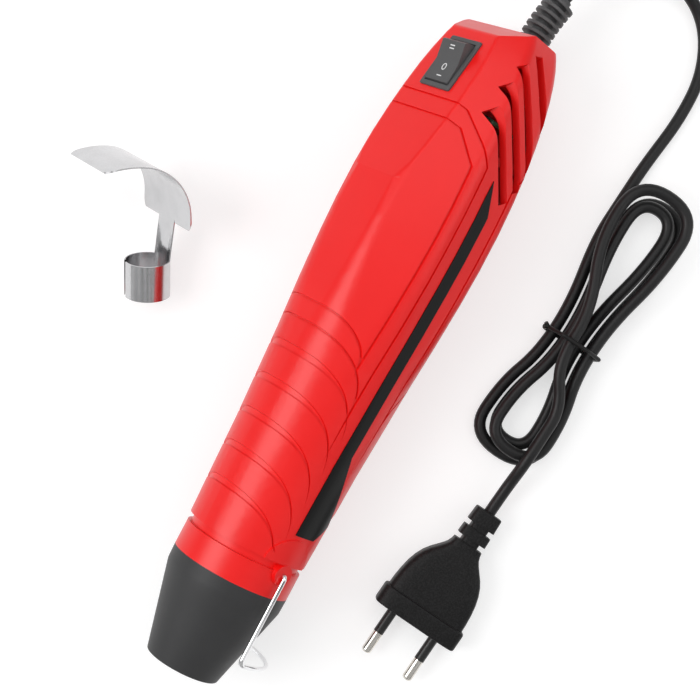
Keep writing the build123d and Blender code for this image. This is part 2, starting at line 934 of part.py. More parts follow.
for number in range(1, 4):
    terminal_place = terminal_pitch * (number - 2)
    with BuildPart() as switch_terminal:
        with BuildSketch(deck.offset(-switch_depth)):
            with Locations((terminal_place, 0)):
                Rectangle(terminal_thickness, terminal_width)
        extrude(amount=-terminal_length)
    switch_terminal.part.label = f"switch_terminal_{number}"
    export_step(switch_terminal.part, f"parts/switch_terminal_{number}.step")

# Strain relief bent a little to the cord's side, with ribs along it
relief_base = place(tool_length, 0, -relief_drop)
relief_angle = math.radians(relief_turn)
relief_bend = relief_length / relief_angle
relief_tip = relief_base + Vector(
    -relief_bend * math.sin(relief_angle), relief_bend * (1 - math.cos(relief_angle)), 0
)
relief_heading = Vector(-math.cos(relief_angle), math.sin(relief_angle), 0)
inner_face = hull_wall + relief_flange_width
with BuildPart() as strain_relief:
    with BuildLine() as relief_line:
        relief_arc = TangentArc(relief_base, relief_tip, tangent=(-1, 0, 0))
    with BuildSketch(Plane(origin=relief_base, z_dir=(-1, 0, 0))):
        Circle(relief_core_radius)
    sweep(path=relief_line.wires()[0])
    for number in range(relief_rib_count):
        rib_run = relief_rib_front + (relief_length - relief_rib_front) * number / relief_rib_count
        share = rib_run / relief_length
        with BuildSketch(Plane(origin=relief_arc @ share, z_dir=relief_arc % share)):
            Circle(relief_rib_radius)
        extrude(amount=relief_rib_width / 2, both=True)
    with BuildSketch(Plane(origin=relief_base, z_dir=(1, 0, 0))):
        Circle(relief_core_radius)
    extrude(amount=inner_face)
    with BuildSketch(Plane(origin=relief_base + Vector(inner_face, 0, 0), z_dir=(-1, 0, 0))):
        Circle(relief_flange_radius)
    extrude(amount=relief_flange_width)
    with BuildSketch(Plane(origin=relief_base, z_dir=(-1, 0, 0))):
        Circle(relief_rib_radius)
    extrude(amount=relief_rib_width)
strain_relief.part.label = "strain_relief"
export_step(strain_relief.part, "parts/strain_relief.step")

# Wire stand folded round the shroud
boss_face = collar_radius + pad_rise + boss_rise
stand_half = boss_face + stand_gap + wire_radius
hoop_station = pivot_station - stand_reach
with BuildPart() as wire_stand:
    with BuildLine() as stand_line:
        FilletPolyline(
            place(pivot_station, stand_pin_inner, 0),
            place(pivot_station, stand_half, 0),
            place(hoop_station, stand_half, 0),
            place(hoop_station, stand_half, -stand_drop),
            radius=(stand_half - boss_face, stand_bend),
        )
        ThreePointArc(
            place(hoop_station, stand_half, -stand_drop),
            place(hoop_station, 0, -stand_half - stand_drop),
            place(hoop_station, -stand_half, -stand_drop),
        )
        FilletPolyline(
            place(hoop_station, -stand_half, -stand_drop),
            place(hoop_station, -stand_half, 0),
            place(pivot_station, -stand_half, 0),
            place(pivot_station, -stand_pin_inner, 0),
            radius=(stand_bend, stand_half - boss_face),
        )
    with BuildSketch(Plane(origin=place(pivot_station, stand_pin_inner, 0), z_dir=side)):
        Circle(wire_radius)
    sweep(path=stand_line.wires()[0])
wire_stand.part.label = "wire_stand"
export_step(wire_stand.part, "parts/wire_stand.step")

# Hank frame: along runs towards the rear of the tool, across towards +Y
hank_turn = math.radians(hank_angle)
along = Vector(-math.cos(hank_turn), math.sin(hank_turn), 0)
over = Vector(math.sin(hank_turn), math.cos(hank_turn), 0)
hank_base = Vector(rest_station - hank_station, hank_offset, 0)
cord_radius = cord_diameter / 2


def in_hank(far, wide, layer, lift):
    up = cord_radius + hank_step * layer + lift
    return hank_base + along * far + over * wide + Vector(0, 0, up)


hank_inner = hank_outer - hank_step
waist_inner = hank_waist - hank_step
exit_waist = -waist_inner / 2
# Each row is the place along, the place across, the layer and the way of travel
hank_rows = (
    (hank_rear + cord_diameter, -hank_outer, 0, -1),
    (hank_rear, -hank_outer, 0, -1),
    (0, -hank_waist, 0, -1),
    (-hank_front, -hank_outer, 0, -1),
    (-hank_front, hank_outer, 0, 1),
    (0, hank_waist, 0, 1),
    (hank_rear, hank_outer, 0, 1),
    (hank_rear, -hank_inner, 0, -1),
    (0, -waist_inner, 0, -1),
    (-hank_front, -hank_inner, 0, -1),
    (-hank_front, hank_inner, 0, 1),
    (0, waist_inner, 0, 1),
    (hank_rear, hank_inner, 1, 1),
    (hank_rear, -hank_inner, 1, -1),
    (0, -waist_inner, 1, -1),
    (-hank_front, -hank_inner, 1, -1),
    (-hank_front, hank_outer, 1, 1),
    (0, hank_waist, 1, 1),
    (hank_rear, hank_outer, 2, 1),
    (hank_rear, -hank_outer, 2, -1),
    (0, exit_waist, 2, -1),
    (-exit_front, exit_side, 2, -1),
    (-exit_front - cord_diameter, exit_side, 2, -1),
)
hank_stops = [
    (in_hank(far, wide, layer, waist_lift if far == 0 else 0), along * way)
    for far, wide, layer, way in hank_rows
]
with BuildPart() as cord_hank:
    with BuildLine() as hank_line:
        arc_chain(hank_stops)
    with BuildSketch(Plane(origin=hank_stops[0][0], z_dir=hank_stops[0][1])):
        RegularPolygon(cord_radius, hank_sides)
    sweep(path=hank_line.wires()[0])
cord_hank.part.label = "cord_hank"
export_step(cord_hank.part, "parts/cord_hank.step")
hank_path = hank_line.wires()[0]
print("hank length", round(hank_path.length, 1))
steps = int(hank_path.length / (cord_diameter / 4))
samples = [hank_path @ (index / steps) for index in range(steps + 1)]
nearest = min(
    (samples[i] - samples[j]).length
    for i in range(len(samples))
    for j in range(i + 16, len(samples))
    if abs(samples[i].X - samples[j].X) < cord_diameter * 2
    and abs(samples[i].Y - samples[j].Y) < cord_diameter * 2
)
print("least gap of the hank to itself", round(nearest - cord_diameter, 3))

# Twisted tie round the waist
tie_half = hank_waist + cord_radius + tie_gap + tie_radius
tie_low = tie_radius
tie_high = waist_lift + hank_step * 2 + cord_diameter + tie_gap + tie_radius
with BuildPart() as hank_tie:
    with BuildLine() as tie_line:
        FilletPolyline(
            hank_base + over * tie_half + Vector(0, 0, tie_low),
            hank_base + over * tie_half + Vector(0, 0, tie_high - hank_step),
            hank_base + over * hank_step + Vector(0, 0, tie_high),
            hank_base - over * hank_step + Vector(0, 0, tie_high),
            hank_base - over * tie_half + Vector(0, 0, tie_high - hank_step),
            hank_base - over * tie_half + Vector(0, 0, tie_low),
            radius=tie_radius * 2,
            close=True,
        )
    tie_path = tie_line.wires()[0]
    with BuildSketch(Plane(origin=tie_path @ 0, z_dir=tie_path % 0)):
        RegularPolygon(tie_radius, 8)
    sweep(path=tie_path)
    knot = hank_base - over * tie_half + Vector(0, 0, tie_high - hank_step)
    for way in (1, -1):
        tail_way = over * -1 + along * way / 2 + Vector(0, 0, 1 / 2)
        with BuildSketch(Plane(origin=knot, z_dir=tail_way)):
            Circle(tie_radius)
        extrude(amount=tie_tail)
hank_tie.part.label = "hank_tie"
export_step(hank_tie.part, "parts/hank_tie.step")


# A free stretch of cord: straight runs joined by arcs as large as they allow
def free_stretch(points):
    radii = []
    for before, here, after in zip(points, points[1:], points[2:]):
        turn = (here - before).get_angle(after - here)
        shorter = min((here - before).length, (after - here).length)
        radii.append(0.45 * shorter / math.tan(math.radians(turn / 2)))
    print("radii", [round(value, 1) for value in radii])
    with BuildPart() as stretch:
        with BuildLine() as line:
            FilletPolyline(*points, radius=radii)
        with BuildSketch(Plane(origin=points[0], z_dir=points[1] - points[0])):
            Circle(cord_radius)
        sweep(path=line.wires()[0])
    reach = line.wires()[0].length
    full = math.pi * cord_radius**2 * reach
    print("length", round(reach, 1), "volume share", round(stretch.part.volume / full, 4))
    return stretch.part


lead_points = [relief_tip, relief_tip + relief_heading * lead_exit_run]
lead_points += [Vector(rest_station - row[0], row[1], row[2]) for row in lead_route]
lead_points += [in_hank(hank_rear + cord_diameter + lead_run, -hank_outer, 0, 0), hank_stops[0][0]]
with BuildPart() as cord_lead:
    add(free_stretch(lead_points))
cord_lead.part.label = "cord_lead"
export_step(cord_lead.part, "parts/cord_lead.step")

# Plug lying flat, its tail meeting the cord
plug_turn = math.radians(plug_angle)
plug_way = Vector(math.cos(plug_turn), -math.sin(plug_turn), 0)
plug_across = Vector(math.sin(plug_turn), math.cos(plug_turn), 0)
exit_point = hank_stops[-1][0]
exit_level = plug_height / 2
second_point = exit_point - along * drop_run
third_point = exit_point - along * drop_reach
third_point = Vector(third_point.X, third_point.Y, exit_level)
plug_tail = third_point + plug_way * plug_run
with BuildPart() as plug_lead:
    add(free_stretch([exit_point, second_point, third_point, plug_tail]))
plug_lead.part.label = "plug_lead"
export_step(plug_lead.part, "parts/plug_lead.step")

plug_face = Plane(origin=plug_tail + plug_way * plug_length, x_dir=plug_across, z_dir=plug_way)
with BuildPart() as plug_body:
    sections = [(0, plug_width, plug_height), (plug_face_depth, plug_width, plug_height)]
    for depth_share, size_share in shoulder_shares:
        sections.append(
            (
                plug_face_depth + (plug_shoulder - plug_face_depth) * depth_share,
                plug_neck_width + (plug_width - plug_neck_width) * size_share,
                plug_neck_height + (plug_height - plug_neck_height) * size_share,
            )
        )
    sections.append((plug_shoulder, plug_neck_width, plug_neck_height))
    sections.append((plug_length, plug_end_width, plug_end_height))
    for depth, width, height in sections:
        with BuildSketch(plug_face.offset(-depth)):
            RectangleRounded(width, height, plug_corner)
    loft(ruled=True)
    for number in range(notch_count):
        notch_back = plug_shoulder + notch_pitch * (number + 1) - notch_gap
        for way in (1, -1):
            with BuildSketch(plug_face.offset(-notch_back)):
                with Locations((way * plug_neck_width / 2, 0)):
                    Rectangle(notch_depth * 2, plug_neck_height * 2)
            extrude(amount=notch_gap, mode=Mode.SUBTRACT)
plug_body.part.label = "plug_body"
export_step(plug_body.part, "parts/plug_body.step")

for number, way in ((1, 1), (2, -1)):
    with BuildPart() as plug_pin:
        with BuildSketch(plug_face):
            with Locations((way * pin_spacing / 2, 0)):
                Circle(pin_core_radius)
        extrude(amount=pin_sleeve_length)
        with BuildSketch(plug_face.offset(pin_sleeve_length)):
            with Locations((way * pin_spacing / 2, 0)):
                Circle(pin_radius)
        extrude(amount=pin_length - pin_sleeve_length)
        fillet(plug_pin.faces().sort_by(Axis(plug_face.origin, plug_way))[-1].edges(), radius=pin_round)
    plug_pin.part.label = f"plug_pin_{number}"
    export_step(plug_pin.part, f"parts/plug_pin_{number}.step")
    with BuildPart() as pin_sleeve:
        with BuildSketch(plug_face):
            with Locations((way * pin_spacing / 2, 0)):
                Circle(pin_radius)
                Circle(pin_core_radius, mode=Mode.SUBTRACT)
        extrude(amount=pin_sleeve_length)
    pin_sleeve.part.label = f"pin_sleeve_{number}"
    export_step(pin_sleeve.part, f"parts/pin_sleeve_{number}.step")

# Reflector nozzle: split collar, creased neck and curved hood of thin sheet
collar_inner = outlet_radius + reflector_grip
collar_middle = collar_inner + sheet / 2
heading = math.radians(reflector_heading)
pitch = math.radians(reflector_pitch)
roll = math.radians(reflector_roll)
flat_way = Vector(-math.cos(heading), -math.sin(heading), 0)
flat_side = Vector(math.sin(heading), -math.cos(heading), 0)
reflector_way = flat_way * math.cos(pitch) + Vector(0, 0, math.sin(pitch))
reflector_up = Vector(0, 0, math.cos(pitch)) - flat_way * math.sin(pitch)
bend_way = flat_side * math.cos(roll) + reflector_up * math.sin(roll)
reflector_foot = Vector(rest_station - reflector_station, reflector_side, 0)
collar_plane = Plane(origin=reflector_foot, x_dir=bend_way, z_dir=reflector_way)


# Thin curved strip across the nozzle, as an arc of the given radius and half width
def sheet_strip(plane, radius, half_width):
    spread = math.asin(half_width / radius)
    centre = radius - collar_middle
    with BuildSketch(plane) as strip:
        with BuildLine():
            points = []
            for bow in (radius - sheet / 2, radius + sheet / 2):
                points.append(
                    [
                        (centre - bow * math.cos(angle), bow * math.sin(angle))
                        for angle in (-spread, 0, spread)
                    ]
                )
            ThreePointArc(*points[0])
            ThreePointArc(*points[1])
            Line(points[0][0], points[1][0])
            Line(points[0][2], points[1][2])
        make_face()
    return strip.sketch


neck_end = reflector_collar_length + reflector_neck_length
split_turn = math.radians(reflector_split_turn)
hood_origin = (
    collar_plane.origin
    + reflector_way * (neck_end - reflector_lap)
    - bend_way * collar_middle
)
hood_across = reflector_way.cross(bend_way)
with BuildPart() as reflector_hood:
    with BuildSketch(Plane(origin=hood_origin, x_dir=reflector_way, z_dir=hood_across)):
        with BuildLine():
            flat = Line((0, 0), (hood_flat, 0))
            bend = JernArc(start=flat @ 1, tangent=flat % 1, radius=hood_radius, arc_size=hood_turn)
            lip = JernArc(start=bend @ 1, tangent=bend % 1, radius=lip_radius, arc_size=lip_turn)
        hood_end = lip @ 1
        trace(line_width=sheet)
    extrude(amount=hood_root_width, both=True)
    hood_reach = (hood_end.X + hood_end.Y) / math.sqrt(2)
    cut_plane = Plane(
        origin=hood_origin, x_dir=reflector_way + bend_way, z_dir=reflector_way - bend_way
    )
    with BuildSketch(cut_plane):
        Polygon(
            (-sheet, -hood_root_width / 2),
            (hood_reach + sheet, -hood_tip_width / 2),
            (hood_reach + sheet, hood_tip_width / 2),
            (-sheet, hood_root_width / 2),
            align=None,
        )
        fillet(vertices(), radius=hood_corner)
    extrude(amount=overrun, both=True, mode=Mode.INTERSECT)

with BuildPart() as reflector_nozzle:
    with BuildSketch(collar_plane):
        Circle(collar_inner + sheet)
        Circle(collar_inner, mode=Mode.SUBTRACT)
        with Locations((collar_middle * math.cos(split_turn), collar_middle * math.sin(split_turn))):
            Rectangle(
                sheet * 4, reflector_split, rotation=reflector_split_turn, mode=Mode.SUBTRACT
            )
    extrude(amount=reflector_collar_length)
    open_end = reflector_nozzle.faces().sort_by(Axis(reflector_foot, reflector_way))[0]
    open_rim = open_end.edges().filter_by(GeomType.CIRCLE).sort_by(SortBy.RADIUS)[0]
    chamfer(open_rim, length=sheet / 2, length2=reflector_lead, reference=open_end)
    neck_half = reflector_neck_width / 2
    neck_root = sheet_strip(collar_plane.offset(reflector_collar_length), collar_middle, neck_half)
    neck_tip = sheet_strip(collar_plane.offset(neck_end), reflector_neck_curve, neck_half)
    loft(sections=[neck_root.face(), neck_tip.face()], ruled=True)
    add(reflector_hood.part)
reflector_low = reflector_nozzle.part.bounding_box().min.Z
reflector_part = reflector_nozzle.part.moved(Location((0, 0, -reflector_low)))
reflector_part.label = "reflector_nozzle"
export_step(reflector_part, "parts/reflector_nozzle.step")
reflector_box = reflector_part.bounding_box()
print("reflector", reflector_box.min, reflector_box.max, reflector_part.is_valid)

for name, value in (
    ("plug_face", plug_face.origin),
    ("plug_way", plug_way),
    ("hinge", hinge_point),
    ("crown_normal", crown_normal),
    ("collar", reflector_foot - Vector(0, 0, reflector_low)),
    ("collar_way", reflector_way),
):
    print(name, [round(part, 4) for part in (value.X, value.Y, value.Z)])
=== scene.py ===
import json
import math
import bmesh
import bpy
from mathutils import Matrix, Vector


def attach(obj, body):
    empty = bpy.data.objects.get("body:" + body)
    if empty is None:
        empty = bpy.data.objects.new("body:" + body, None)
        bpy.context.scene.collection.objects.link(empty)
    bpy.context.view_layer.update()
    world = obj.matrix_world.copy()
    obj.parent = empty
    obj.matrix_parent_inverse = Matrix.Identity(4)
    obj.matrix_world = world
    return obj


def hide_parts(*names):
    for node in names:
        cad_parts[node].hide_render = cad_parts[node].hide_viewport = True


# Embossing heat tool on its side, with its clip-on reflector and its cord
# metres throughout; mm turns millimetres into metres
mm = 0.001
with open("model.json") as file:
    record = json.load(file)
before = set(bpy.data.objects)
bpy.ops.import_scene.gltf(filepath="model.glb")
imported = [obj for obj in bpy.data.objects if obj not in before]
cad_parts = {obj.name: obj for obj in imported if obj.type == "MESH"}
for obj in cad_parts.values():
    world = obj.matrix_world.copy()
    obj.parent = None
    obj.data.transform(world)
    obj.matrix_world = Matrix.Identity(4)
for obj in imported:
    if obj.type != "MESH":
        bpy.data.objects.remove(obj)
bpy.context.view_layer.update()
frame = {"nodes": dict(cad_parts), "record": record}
nodes = frame["nodes"]
print("frame loaded,", len(nodes), "nodes")


def newObject(name, data):
    made = bpy.data.objects.new(name, data)
    bpy.context.scene.collection.objects.link(made)
    return made


# Camera straight above the tool, turned so that the nozzle points down and left
cameraPlace = {
    "x": 52.5 * mm, "y": 1.0 * mm, "height": 579 * mm, "turn": 117.7,
    "lens": 77.8, "sensor": 36, "nearest": 0.01,
}


def makeCamera(place):
    data = bpy.data.cameras.new("photo_view")
    data.lens = place["lens"]
    data.sensor_width = place["sensor"]
    data.clip_start = place["nearest"]
    camera = newObject("photo_view", data)
    camera.location = (place["x"], place["y"], place["height"])
    camera.rotation_euler = (0, 0, math.radians(place["turn"]))
    bpy.context.scene.camera = camera
    print("camera stands")


makeCamera(cameraPlace)

# The cord in millimetres: strain relief, floor run, hank and plug, one line from end to end
cordSizes = {
    "diameter": 4.6, "reliefTip": (-98.7014, 10.9645, 21.0218), "reliefTurn": 16.0, "exitRun": 14.0,
    "station": 182.0, "hankStation": 170.6, "hankOffset": 73.9, "hankAngle": 5.6,
    "rear": 52.0, "front": 36.0, "step": 5.35, "outer": 13.3, "waist": 8.03, "lift": 2.1,
    "leadRun": 16.0, "exitSide": 9.5, "exitFront": 32.4,
    "plugAngle": 6.6, "plugRun": 10.5, "plugHeight": 13.7, "dropRun": 11.0, "dropReach": 23.0,
    "bevelSteps": 5, "lineSteps": 10, "order": 3,
}
# Floor run: station back from the nozzle, sideways place and height
leadRoute = (
    (307.0, 27.5, 15.0),
    (311.5, 45.0, 7.0),
    (304.0, 62.0, 2.4),
    (286.0, 71.0, 2.3),
    (266.0, 71.5, 2.3),
)


# Level way back along the tool, turned by some degrees
def flatWay(degrees):
    turn = math.radians(degrees)
    return Vector((-math.cos(turn), math.sin(turn), 0))


# A place in the hank: along it, across it, and how many cords up
def inHank(sizes, far, wide, layer, lift):
    along = flatWay(sizes["hankAngle"])
    over = Vector((along.y, -along.x, 0))
    base = Vector((sizes["station"] - sizes["hankStation"], sizes["hankOffset"], 0))
    up = sizes["diameter"] / 2 + sizes["step"] * layer + lift
    return base + along * far + over * wide + Vector((0, 0, up))


# Corners of the hank's turns: where two equal tangents meet at each pair of stops
def hankCorners(sizes):
    outer, waist = sizes["outer"], sizes["waist"]
    inner, waistInner = outer - sizes["step"], waist - sizes["step"]
    rear, front = sizes["rear"], sizes["front"]
    rows = (
        (rear + sizes["diameter"], -outer, 0, -1),
        (rear, -outer, 0, -1), (0, -waist, 0, -1), (-front, -outer, 0, -1),
        (-front, outer, 0, 1), (0, waist, 0, 1), (rear, outer, 0, 1),
        (rear, -inner, 0, -1), (0, -waistInner, 0, -1), (-front, -inner, 0, -1),
        (-front, inner, 0, 1), (0, waistInner, 0, 1), (rear, inner, 1, 1),
        (rear, -inner, 1, -1), (0, -waistInner, 1, -1), (-front, -inner, 1, -1),
        (-front, outer, 1, 1), (0, waist, 1, 1), (rear, outer, 2, 1),
        (rear, -outer, 2, -1), (0, -waistInner / 2, 2, -1),
        (-sizes["exitFront"], sizes["exitSide"], 2, -1),
    )
    along = flatWay(sizes["hankAngle"])
    stops = [
        (inHank(sizes, far, wide, layer, sizes["lift"] if far == 0 else 0), along * way)
        for far, wide, layer, way in rows
    ]
    corners, parallel = [], 1e-6
    for (start, heading), (end, lastHeading) in zip(stops, stops[1:]):
        chord = end - start
        square = 2 * (heading.dot(lastHeading) - 1)
        middle = -2 * chord.dot(heading + lastHeading)
        base = chord.dot(chord)
        if abs(square) < parallel:
            reach = base / -middle
        else:
            reach = (-middle - math.sqrt(middle * middle - 4 * square * base)) / (2 * square)
        corners += [start + heading * reach, end - lastHeading * reach]
    return stops, corners[2:]


def cordPoints(sizes):
    tip = Vector(sizes["reliefTip"])
    points = [tip, tip + flatWay(sizes["reliefTurn"]) * sizes["exitRun"]]
    points += [Vector((sizes["station"] - row[0], row[1], row[2])) for row in leadRoute]
    leadIn = sizes["rear"] + sizes["diameter"] + sizes["leadRun"]
    points.append(inHank(sizes, leadIn, -sizes["outer"], 0, 0))
    stops, corners = hankCorners(sizes)
    points += [stops[0][0], *corners]
    along = flatWay(sizes["hankAngle"])
    leaving = stops[-1][0] - along * sizes["diameter"]
    dropped = leaving - along * sizes["dropReach"]
    dropped.z = sizes["plugHeight"] / 2
    tail = dropped - flatWay(sizes["plugAngle"]) * sizes["plugRun"]
    points += [leaving, leaving - along * sizes["dropRun"], dropped, tail]
    return points


# The points carry the cord's radius, because a curve's box counts it and not the bevel
def makeCord(sizes):
    points = [point * mm for point in cordPoints(sizes)]
    curve = bpy.data.curves.new("mains_cord", "CURVE")
    curve.dimensions = "3D"
    curve.bevel_depth = 1.0
    curve.bevel_resolution = sizes["bevelSteps"]
    curve.resolution_u = sizes["lineSteps"]
    curve.use_fill_caps = True
    spline = curve.splines.new("NURBS")
    spline.points.add(len(points) - 1)
    for target, point in zip(spline.points, points):
        target.co = (*point, 1)
        target.radius = sizes["diameter"] / 2 * mm
    spline.order_u = sizes["order"]
    spline.use_endpoint_u = True
    cord = newObject("mains_cord", curve)
    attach(cord, "tool")
    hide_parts("cord_lead", "cord_hank", "plug_lead")
    print("cord laid through", len(points), "points")
    return cord


cord = makeCord(cordSizes)


# Shader maths: a wire wraps a socket, and arithmetic on wires adds the nodes
class Wire:
    def __init__(self, paint, socket):
        self.paint, self.socket = paint, socket

    def __add__(self, other):
        return self.paint.maths("ADD", self, other)

    def __radd__(self, other):
        return self.paint.maths("ADD", other, self)

    def __sub__(self, other):
        return self.paint.maths("SUBTRACT", self, other)

    def __mul__(self, other):
        return self.paint.maths("MULTIPLY", self, other)


class Paint:
    def __init__(self, name):
        self.material = bpy.data.materials.new(name)
        self.material.use_nodes = True
        self.tree = self.material.node_tree
        self.tree.nodes.clear()
        self.place = self.node("ShaderNodeTexCoord", out="Object")

    # One node, its settings first and then what its sockets hold or are linked to
    def node(self, kind, settings=None, sockets=None, out=0):
        made = self.tree.nodes.new(kind)
        for name, value in (settings or {}).items():
            if name == "stops":
                elements = made.color_ramp.elements
                while len(elements) < len(value):
                    elements.new(0.5)
                for element, (position, shade) in zip(elements, value):
                    element.position = position
                    element.color = (shade, shade, shade, 1)
            else:
                setattr(made, name, value)
        for name, value in (sockets or {}).items():
            if isinstance(value, Wire):
                self.tree.links.new(value.socket, made.inputs[name])
            else:
                made.inputs[name].default_value = value
        return Wire(self, made.outputs[out])

    def maths(self, operation, first, second):
        return self.node("ShaderNodeMath", {"operation": operation}, {0: first, 1: second})

    # The colour mix has its share at socket 0, its colours at 6 and 7 and its result at 2
    def blend(self, share, first, second):
        return self.node("ShaderNodeMix", {"data_type": "RGBA"}, {0: share, 6: first, 7: second}, out=2)

    def stretched(self, scale):
        return self.node("ShaderNodeMapping", None, {"Vector": self.place, "Scale": scale})

    # Noise with features of about the given size in millimetres
    def noise(self, size, detail=3.0, rough=0.55, vector=None):
        sockets = {"Vector": vector or self.place, "Scale": 1000 / size, "Detail": detail, "Roughness": rough}
        return self.node("ShaderNodeTexNoise", None, sockets)

    def ramp(self, factor, *stops):
        return self.node("ShaderNodeValToRGB", {"stops": stops}, {"Fac": factor})

    def bump(self, height, depth, strength=1.0):
        sockets = {"Height": height, "Distance": depth * mm, "Strength": strength}
        return self.node("ShaderNodeBump", None, sockets)

    def finish(self, **sockets):
        names = {name.replace("_", " "): value for name, value in sockets.items()}
        shader = self.node("ShaderNodeBsdfPrincipled", None, names)
        output = self.tree.nodes.new("ShaderNodeOutputMaterial")
        self.tree.links.new(shader.socket, output.inputs["Surface"])
        return self.material


def tone(red, green, blue):
    return (red, green, blue, 1)


# Moulded plastic: spark-eroded grain, faint flow clouds and a few rubbed places
grainStops = ((0.42, 0), (0.62, 1))
rubStops = ((0.58, 0), (0.72, 1))


def mouldedPlastic(name, look):
    paint = Paint(name)
    clouds = paint.noise(look["cloud"], 4)
    grain = paint.noise(look["grain"], 2, 0.6)
    rub = paint.ramp(paint.noise(look["cloud"] * 0.4, 6, 0.7), *rubStops)
    speckle = look.get("speckle", 0)
    shade = clouds * (1 - speckle) + paint.ramp(grain, *grainStops) * speckle
    colour = paint.blend(shade, tone(*look["dark"]), tone(*look["light"]))
    rough = look["rough"] + clouds * look["roughSwing"] - rub * look["polish"]
    return paint.finish(
        Base_Color=colour,
        Roughness=rough,
        Normal=paint.bump(grain, look["depth"], 0.6),
        Coat_Weight=look["coat"],
        Coat_Roughness=0.25,
        Specular_IOR_Level=look.get("shine", 0.5),
    )


plastics = {
    "redShell": {
        "dark": (0.84, 0.005, 0.005), "light": (0.92, 0.009, 0.008), "rough": 0.3,
        "roughSwing": 0.1, "polish": 0.06, "coat": 0.06, "shine": 0.4, "cloud": 24, "grain": 0.22,
        "depth": 0.012,
    },
    "shroudGrey": {
        "dark": (0.03, 0.03, 0.031), "light": (0.042, 0.042, 0.043), "rough": 0.46,
        "roughSwing": 0.12, "polish": 0.08, "coat": 0.0, "shine": 0.35, "cloud": 14, "grain": 0.28,
        "depth": 0.03,
    },
    "switchGrey": {
        "dark": (0.075, 0.075, 0.077), "light": (0.1, 0.1, 0.102), "rough": 0.42,
        "roughSwing": 0.12, "polish": 0.1, "coat": 0.0, "shine": 0.35, "cloud": 6, "grain": 0.2,
        "depth": 0.015,
    },
    "labelBlack": {
        "dark": (0.002, 0.002, 0.002), "light": (0.004, 0.004, 0.004), "rough": 0.3,
        "roughSwing": 0.1, "polish": 0.06, "coat": 0.0, "shine": 0.2, "cloud": 18, "grain": 0.5,
        "depth": 0.004,
    },
    "cordBlack": {
        "dark": (0.006, 0.006, 0.0065), "light": (0.011, 0.011, 0.0115), "rough": 0.36,
        "roughSwing": 0.14, "polish": 0.08, "coat": 0.0, "shine": 0.35, "cloud": 9, "grain": 0.35,
        "depth": 0.02,
    },
    "tieBlack": {
        "dark": (0.005, 0.005, 0.005), "light": (0.009, 0.009, 0.009), "rough": 0.4,
        "roughSwing": 0.12, "polish": 0.05, "coat": 0.0, "shine": 0.3, "cloud": 4, "grain": 0.3,
        "depth": 0.02,
    },
    "plugBlack": {
        "dark": (0.002, 0.002, 0.002), "light": (0.012, 0.012, 0.0125), "rough": 0.42,
        "roughSwing": 0.14, "polish": 0.05, "coat": 0.0, "shine": 0.25, "speckle": 0.8, "cloud": 5,
        "grain": 0.6, "depth": 0.12,
    },
    "sleeveBlack": {
        "dark": (0.012, 0.012, 0.012), "light": (0.02, 0.02, 0.02), "rough": 0.28,
        "roughSwing": 0.1, "polish": 0.05, "coat": 0.1, "shine": 0.35, "cloud": 3, "grain": 0.2,
        "depth": 0.006,
    },
    "innerBlack": {
        "dark": (0.03, 0.03, 0.031), "light": (0.05, 0.05, 0.05), "rough": 0.5, "roughSwing": 0.15,
        "polish": 0.08, "coat": 0.0, "cloud": 10, "grain": 0.3, "depth": 0.02,
    },
    "boardGreen": {
        "dark": (0.02, 0.09, 0.035), "light": (0.035, 0.13, 0.05), "rough": 0.3,
        "roughSwing": 0.12, "polish": 0.05, "coat": 0.2, "cloud": 3, "grain": 0.6, "depth": 0.03,
    },
    "markWhite": {
        "dark": (0.7, 0.7, 0.7), "light": (0.82, 0.82, 0.82), "rough": 0.5, "roughSwing": 0.1,
        "polish": 0.0, "coat": 0.0, "cloud": 1, "grain": 0.15, "depth": 0.01,
    },
}


# Bare and plated metal: fine drawn lines one way, faint stains and handling smears
stainStops = ((0.42, 0), (0.75, 1))
lineShare = 0.25
stainRough = 0.05


def drawnMetal(name, look):
    paint = Paint(name)
    lines = paint.noise(look["line"], 3, 0.6, paint.stretched(look["stretch"]))
    stain = paint.ramp(paint.noise(look["stain"], 5, 0.6), *stainStops)
    shade = stain * look["stained"] + lines * lineShare
    colour = paint.blend(shade, tone(*look["light"]), tone(*look["dark"]))
    rough = look["rough"] + lines * look["roughSwing"] + stain * stainRough
    return paint.finish(
        Base_Color=colour,
        Metallic=1.0,
        Roughness=rough,
        Normal=paint.bump(lines, look["depth"], 0.5),
    )


